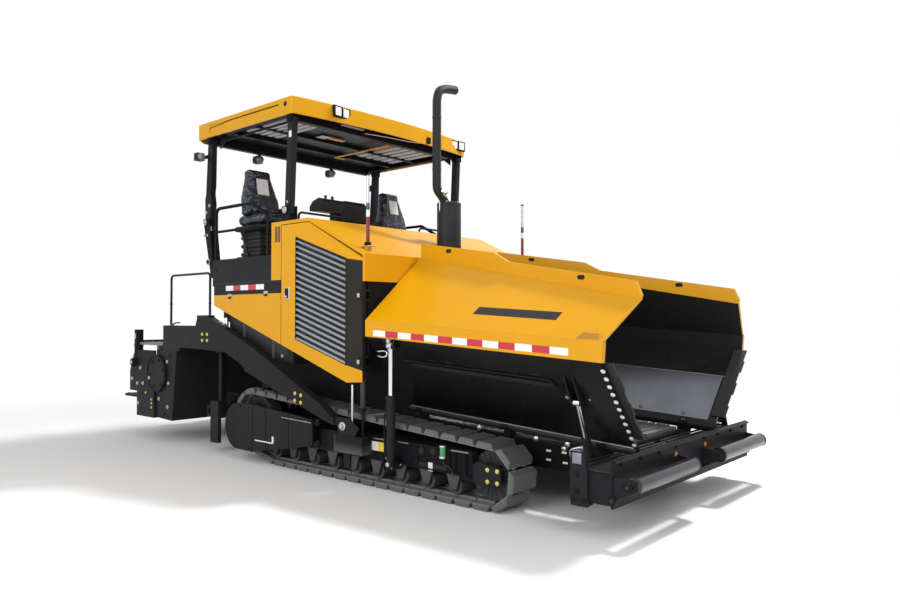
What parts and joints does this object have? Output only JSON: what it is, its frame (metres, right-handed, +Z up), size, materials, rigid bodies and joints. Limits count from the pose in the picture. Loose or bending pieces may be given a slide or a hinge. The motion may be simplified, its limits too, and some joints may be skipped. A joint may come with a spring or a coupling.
{
  "type": "asphalt paver",
  "caption": "Tracked asphalt paver with raised hopper wings, louvred side doors, roofed operator platform, tow arms and a floating extending screed.",
  "frame": {"origin": "on the ground, under the middle of the machine's overall length and width", "axes": "+X forward towards the hopper, +Y to the machine's left, +Z up"},
  "size_m": [6.9, 2.632, 3.8121],
  "materials": {
    "yellow_paint": "gloss egg-yolk yellow paint",
    "black_paint": "semi-gloss charcoal paint",
    "track_steel": "dark worn steel",
    "cast_steel": "dark cast steel",
    "roof_shell": "yellow glass-reinforced shell",
    "louvre_metal": "grey metallic slats",
    "exhaust_coat": "matt heat-proof grey",
    "seat_cover": "dark blue-black upholstery in clear film",
    "bright_steel": "bright tube",
    "dark_plastic": "textured black plastic",
    "seat_metal": "black rubber bellows on a steel base",
    "roller_steel": "dark rolled steel",
    "rubber": "black rubber",
    "lamp_housing": "black moulded lamp housings",
    "walkway_steel": "bare tread plate",
    "chrome_rod": "hard-chromed rod"
  },
  "bodies": {
    "tractor": {"auger_frame": "black_paint", "canopy_brackets": "black_paint", "chassis": "black_paint", "console": "dark_plastic", "conveyors": "track_steel", "deck": "black_paint", "drive_covers": "black_paint", "engine_bay": "black_paint", "engine_block": "cast_steel", "exhaust": "exhaust_coat", "front_beam": "black_paint", "guard_rails": "black_paint", "hood": "yellow_paint", "hopper_floor": "black_paint", "position_poles": "bright_steel", "rear_steps": "walkway_steel", "seat_cushions": "seat_cover", "seat_frames": "seat_metal", "side_panels": "yellow_paint", "tow_points": "cast_steel", "track_frames": "black_paint", "track_left": "track_steel", "track_right": "track_steel", "track_wheels": "cast_steel"},
    "door_right": {"side_door_right": "yellow_paint", "door_corner_right": "black_paint", "louvre_right": "louvre_metal"},
    "door_left": {"side_door_left": "yellow_paint", "door_corner_left": "black_paint", "louvre_left": "louvre_metal"},
    "canopy_front_posts": {"canopy_front_posts": "black_paint"},
    "canopy_rear_posts": {"canopy_rear_posts": "black_paint"},
    "canopy_roof": {"roof": "roof_shell", "roof_frame": "black_paint", "lamps": "lamp_housing"},
    "hopper_wing_right": {"wing_right": "black_paint", "wing_panel_right": "yellow_paint", "wing_flap_right": "rubber"},
    "hopper_wing_left": {"wing_left": "black_paint", "wing_panel_left": "yellow_paint", "wing_flap_left": "rubber"},
    "push_roller_right": {"push_roller_right": "roller_steel"},
    "push_roller_left": {"push_roller_left": "roller_steel"},
    "auger_right": {"auger_right": "black_paint"},
    "auger_left": {"auger_left": "black_paint"},
    "screed": {"tow_arms": "black_paint", "screed": "black_paint", "screed_walkway": "walkway_steel"},
    "screed_extension_right": {"screed_extension_right": "black_paint"},
    "screed_extension_left": {"screed_extension_left": "black_paint"},
    "lift_barrels": {"lift_barrels": "black_paint"},
    "lift_rods": {"lift_rods": "chrome_rod"},
    "wing_barrel_rear_right": {"wing_barrel_rear_right": "black_paint"},
    "wing_rod_rear_right": {"wing_rod_rear_right": "chrome_rod"},
    "wing_barrel_front_right": {"wing_barrel_front_right": "black_paint"},
    "wing_rod_front_right": {"wing_rod_front_right": "chrome_rod"},
    "wing_barrel_rear_left": {"wing_barrel_rear_left": "black_paint"},
    "wing_rod_rear_left": {"wing_rod_rear_left": "chrome_rod"},
    "wing_barrel_front_left": {"wing_barrel_front_left": "black_paint"},
    "wing_rod_front_left": {"wing_rod_front_left": "chrome_rod"}
  },
  "joints": [
    {"name": "door_right_swing", "type": "hinge", "parent": "tractor", "child": "door_right", "pos_m": [0.976, -1.262, 1.3], "axis": [0, 0, 1], "range_deg": [0, 85]},
    {"name": "wing_right_lower", "type": "hinge", "parent": "tractor", "child": "hopper_wing_right", "pos_m": [1.01, -0.7, 0.6345], "axis": [0.9982, 0, -0.0599], "range_deg": [0, 35]},
    {"name": "wing_barrel_rear_right_swing", "type": "hinge", "parent": "tractor", "child": "wing_barrel_rear_right", "pos_m": [1.265, -1.21, 0.24], "axis": [0.9982, 0, -0.0599], "range_deg": [0, 25]},
    {"name": "wing_rod_rear_right_slide", "type": "slide", "parent": "wing_barrel_rear_right", "child": "wing_rod_rear_right", "axis": [0.0598, -0.0599, 0.9964], "range_m": [-0.3529, 0]},
    {"name": "wing_barrel_front_right_swing", "type": "hinge", "parent": "tractor", "child": "wing_barrel_front_right", "pos_m": [2.88, -0.77, 0.32], "axis": [0.9982, 0, -0.0599], "range_deg": [0, 28]},
    {"name": "wing_rod_front_right_slide", "type": "slide", "parent": "wing_barrel_front_right", "child": "wing_rod_front_right", "axis": [0.0537, -0.4425, 0.8952], "range_m": [-0.1109, 0]},
    {"name": "push_roller_right_spin", "type": "hinge", "parent": "tractor", "child": "push_roller_right", "pos_m": [3.395, -0.7, 0.372], "axis": [0, 1, 0], "continuous": true},
    {"name": "auger_right_spin", "type": "hinge", "parent": "tractor", "child": "auger_right", "pos_m": [-1.65, -0.55, 0.42], "axis": [0, 1, 0], "continuous": true},
    {"name": "screed_extension_right_slide", "type": "slide", "parent": "screed", "child": "screed_extension_right", "axis": [0, -1, 0], "range_m": [0, 1]},
    {"name": "door_left_swing", "type": "hinge", "parent": "tractor", "child": "door_left", "pos_m": [0.976, 1.262, 1.3], "axis": [0, 0, -1], "range_deg": [0, 85]},
    {"name": "wing_left_lower", "type": "hinge", "parent": "tractor", "child": "hopper_wing_left", "pos_m": [1.01, 0.7, 0.6345], "axis": [-0.9982, 0, 0.0599], "range_deg": [0, 35]},
    {"name": "wing_barrel_rear_left_swing", "type": "hinge", "parent": "tractor", "child": "wing_barrel_rear_left", "pos_m": [1.265, 1.21, 0.24], "axis": [-0.9982, 0, 0.0599], "range_deg": [0, 25]},
    {"name": "wing_rod_rear_left_slide", "type": "slide", "parent": "wing_barrel_rear_left", "child": "wing_rod_rear_left", "axis": [0.0598, 0.0599, 0.9964], "range_m": [-0.3529, 0]},
    {"name": "wing_barrel_front_left_swing", "type": "hinge", "parent": "tractor", "child": "wing_barrel_front_left", "pos_m": [2.88, 0.77, 0.32], "axis": [-0.9982, 0, 0.0599], "range_deg": [0, 28]},
    {"name": "wing_rod_front_left_slide", "type": "slide", "parent": "wing_barrel_front_left", "child": "wing_rod_front_left", "axis": [0.0537, 0.4425, 0.8952], "range_m": [-0.1109, 0]},
    {"name": "push_roller_left_spin", "type": "hinge", "parent": "tractor", "child": "push_roller_left", "pos_m": [3.395, 0.7, 0.372], "axis": [0, 1, 0], "continuous": true},
    {"name": "auger_left_spin", "type": "hinge", "parent": "tractor", "child": "auger_left", "pos_m": [-1.65, 0.55, 0.42], "axis": [0, 1, 0], "continuous": true},
    {"name": "screed_extension_left_slide", "type": "slide", "parent": "screed", "child": "screed_extension_left", "axis": [0, 1, 0], "range_m": [0, 1]},
    {"name": "canopy_fold", "type": "hinge", "parent": "tractor", "child": "canopy_front_posts", "pos_m": [-0.135, 0, 2.45], "axis": [0, -1, 0], "range_deg": [0, 40]},
    {"name": "canopy_rear_fold", "type": "hinge", "parent": "tractor", "child": "canopy_rear_posts", "pos_m": [-1.54, 0, 2.45], "axis": [0, -1, 0], "range_deg": [0, 40]},
    {"name": "canopy_level", "type": "hinge", "parent": "canopy_front_posts", "child": "canopy_roof", "pos_m": [-0.09, 0, 3.318], "axis": [0, -1, 0], "range_deg": [-40, 0]},
    {"name": "screed_float", "type": "hinge", "parent": "tractor", "child": "screed", "pos_m": [0.737, 0, 0.502], "axis": [0, 1, 0], "range_deg": [-3.9, 2]},
    {"name": "screed_lift_swing", "type": "hinge", "parent": "tractor", "child": "lift_barrels", "pos_m": [-1.295, 0, 1.725], "axis": [0, 1, 0], "range_deg": [-3.1, 5.9]},
    {"name": "screed_lift_slide", "type": "slide", "parent": "lift_barrels", "child": "lift_rods", "axis": [0, 0, -1], "range_m": [-0.072, 0.14]}
  ],
  "couplings": [
    {"joint": "wing_barrel_rear_right_swing", "follows": "wing_right_lower", "ratio": 0.7061},
    {"joint": "wing_rod_rear_right_slide", "follows": "wing_right_lower", "m_per_rad": -0.5761},
    {"joint": "wing_barrel_front_right_swing", "follows": "wing_right_lower", "ratio": 0.7845},
    {"joint": "wing_rod_front_right_slide", "follows": "wing_right_lower", "m_per_rad": -0.1799},
    {"joint": "wing_barrel_rear_left_swing", "follows": "wing_left_lower", "ratio": 0.7061},
    {"joint": "wing_rod_rear_left_slide", "follows": "wing_left_lower", "m_per_rad": -0.5761},
    {"joint": "wing_barrel_front_left_swing", "follows": "wing_left_lower", "ratio": 0.7845},
    {"joint": "wing_rod_front_left_slide", "follows": "wing_left_lower", "m_per_rad": -0.1799},
    {"joint": "canopy_rear_fold", "follows": "canopy_fold", "ratio": 1},
    {"joint": "canopy_level", "follows": "canopy_fold", "ratio": -1},
    {"joint": "screed_lift_swing", "follows": "screed_float", "ratio": -1.488},
    {"joint": "screed_lift_slide", "follows": "screed_float", "m_per_rad": -2.045}
  ]
}
